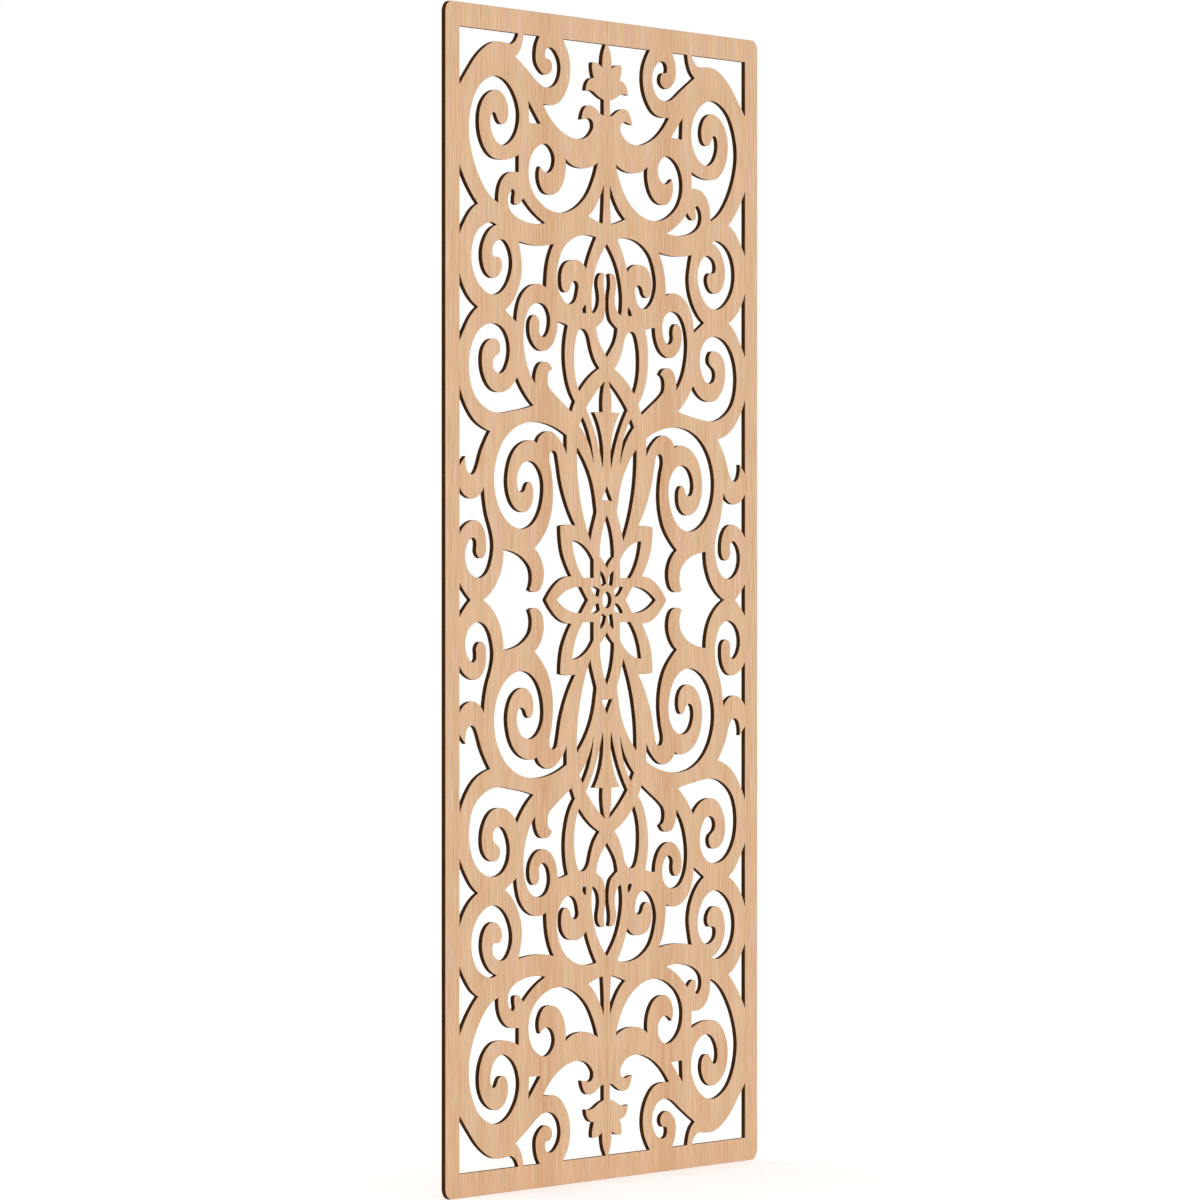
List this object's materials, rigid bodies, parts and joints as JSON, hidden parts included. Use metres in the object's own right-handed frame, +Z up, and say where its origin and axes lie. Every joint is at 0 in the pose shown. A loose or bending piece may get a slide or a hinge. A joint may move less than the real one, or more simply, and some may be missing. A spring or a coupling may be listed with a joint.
{
  "type": "fretwork wall panel",
  "caption": "Tall thin veneered wood panel cut right through with symmetrical scrolls, volutes and leaves round a central rosette, inside a plain narrow border",
  "frame": {"origin": "middle of the back face, on the centre line and at half the height, where the plane of the back meets the axis of the rosette", "axes": "+Z up along the grain, -Y out of the decorated front, +X to the right as seen from the front"},
  "size_m": [0.797, 0.0063, 1.626],
  "materials": {
    "core_board": "cut edges charred dark brown, matt",
    "face_veneer": "pale straight-grained veneer, clear satin lacquer",
    "back_veneer": "pale straight-grained veneer, clear satin lacquer"
  },
  "bodies": {
    "root": {"core": "core_board", "front_leaf_1": "face_veneer", "front_leaf_2": "face_veneer", "front_leaf_3": "face_veneer", "front_leaf_4": "face_veneer", "front_leaf_5": "face_veneer", "front_leaf_6": "face_veneer", "back_leaf_1": "back_veneer", "back_leaf_2": "back_veneer", "back_leaf_3": "back_veneer", "back_leaf_4": "back_veneer", "back_leaf_5": "back_veneer", "back_leaf_6": "back_veneer"}
  },
  "joints": []
}
